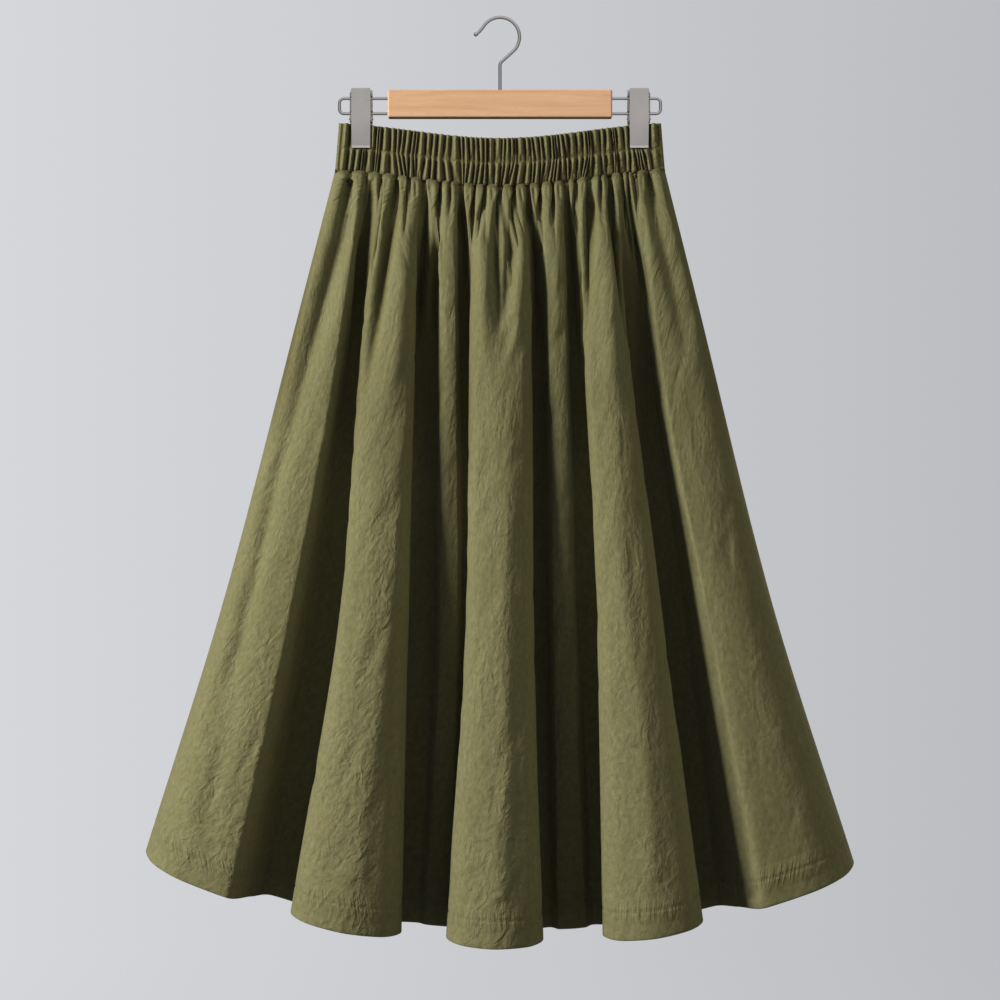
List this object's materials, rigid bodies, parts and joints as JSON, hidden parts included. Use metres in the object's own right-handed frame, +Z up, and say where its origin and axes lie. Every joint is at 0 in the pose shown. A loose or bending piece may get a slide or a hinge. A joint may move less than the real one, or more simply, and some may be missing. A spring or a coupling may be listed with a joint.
{
  "type": "gathered skirt on a clip hanger",
  "caption": "Flared skirt gathered into a wide elasticated waistband, hung flat by clips from a wooden bar hanger with a wire hook.",
  "frame": {"origin": "top of the inside of the hook, where a peg or rail carries it", "axes": "+Z up, +X to the right of someone looking at the front, the front of the skirt faces -Y"},
  "size_m": [0.706, 0.2033, 0.9074],
  "materials": {
    "cloth": "matt washed cotton, olive green, softly crinkled",
    "wood": "satin pale beech with fine lengthwise grain",
    "steel": "satin round wire",
    "nickel": "satin nickel plated pressed sheet"
  },
  "bodies": {
    "root": {"front_panel": "cloth", "back_panel": "cloth", "waistband": "cloth", "hanger_bar": "wood", "hanger_hook": "steel", "rail_left": "steel", "rail_right": "steel", "clip_front_left": "nickel", "clip_back_left": "nickel", "clip_pin_left": "steel", "clip_spring_left": "steel", "clip_front_right": "nickel", "clip_back_right": "nickel", "clip_pin_right": "steel", "clip_spring_right": "steel"}
  },
  "joints": []
}
